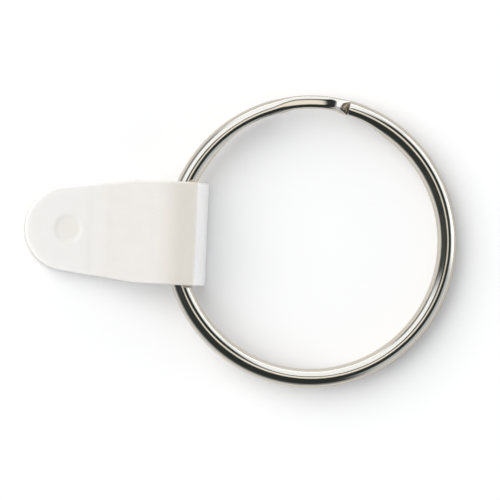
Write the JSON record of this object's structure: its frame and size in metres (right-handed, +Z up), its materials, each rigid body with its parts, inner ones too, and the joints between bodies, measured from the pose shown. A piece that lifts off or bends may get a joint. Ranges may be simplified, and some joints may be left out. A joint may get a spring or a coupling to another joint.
{
  "type": "split key ring with snap strap",
  "caption": "Split ring of half-round wire in two sprung turns, with a folded translucent strap that snaps round the wire and swings on it.",
  "frame": {"origin": "below the middle of the whole object, on the table that it lies on", "axes": "+X from the strap's tip to the ring's far side, +Y along the strap's swing axis, +Z up from the table"},
  "size_m": [0.0372, 0.025, 0.0045],
  "materials": {
    "nickel_plate": "bright nickel plate on steel wire",
    "milky_plastic": "translucent milky white, satin"
  },
  "bodies": {
    "ring": {"split_ring": "nickel_plate"},
    "strap": {"strap": "milky_plastic"}
  },
  "joints": [
    {"name": "strap_swing", "type": "hinge", "parent": "ring", "child": "strap", "pos_m": [-0.00509, 0, 0.00225], "axis": [0, 1, 0], "continuous": true}
  ]
}
